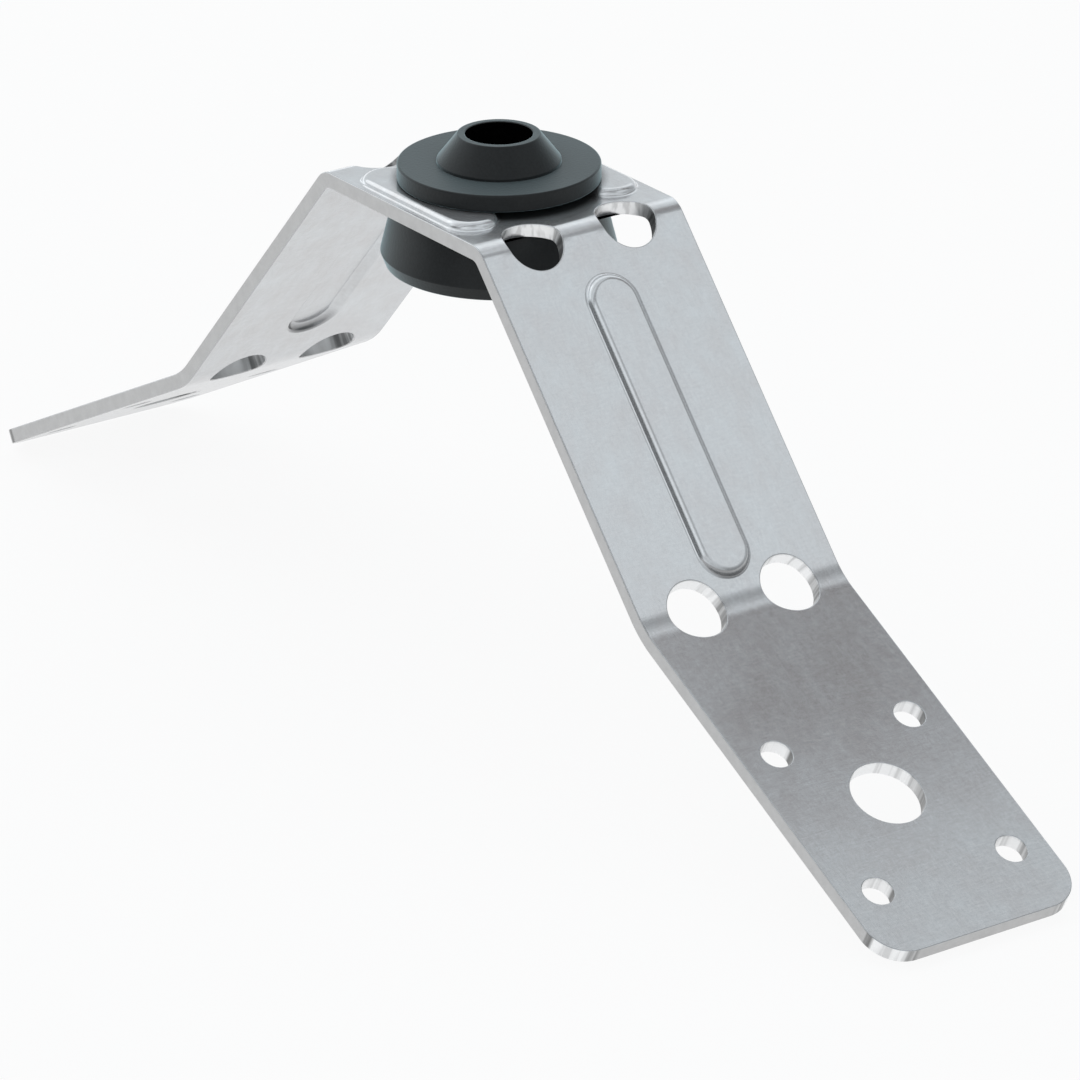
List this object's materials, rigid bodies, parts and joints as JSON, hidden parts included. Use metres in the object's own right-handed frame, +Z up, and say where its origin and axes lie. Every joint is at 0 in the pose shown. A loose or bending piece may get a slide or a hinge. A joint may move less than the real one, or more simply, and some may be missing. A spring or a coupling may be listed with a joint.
{
  "type": "duct hanging bracket with rubber isolator",
  "caption": "Bent sheet steel hanger for a ventilation duct: an inverted V strip with punched feet, pressed beads and a rubber isolator for a threaded rod.",
  "frame": {"origin": "on the axis of the rod bore, at the upper face of the plate", "axes": "+Z up along the rod bore, +X along the strip towards one foot, +Y across the strip"},
  "size_m": [0.1998, 0.03, 0.0715],
  "materials": {
    "zinc_sheet": "galvanised, satin",
    "rubber": "matt moulded rubber"
  },
  "bodies": {
    "root": {"bracket": "zinc_sheet", "rubber_isolator": "rubber"}
  },
  "joints": []
}
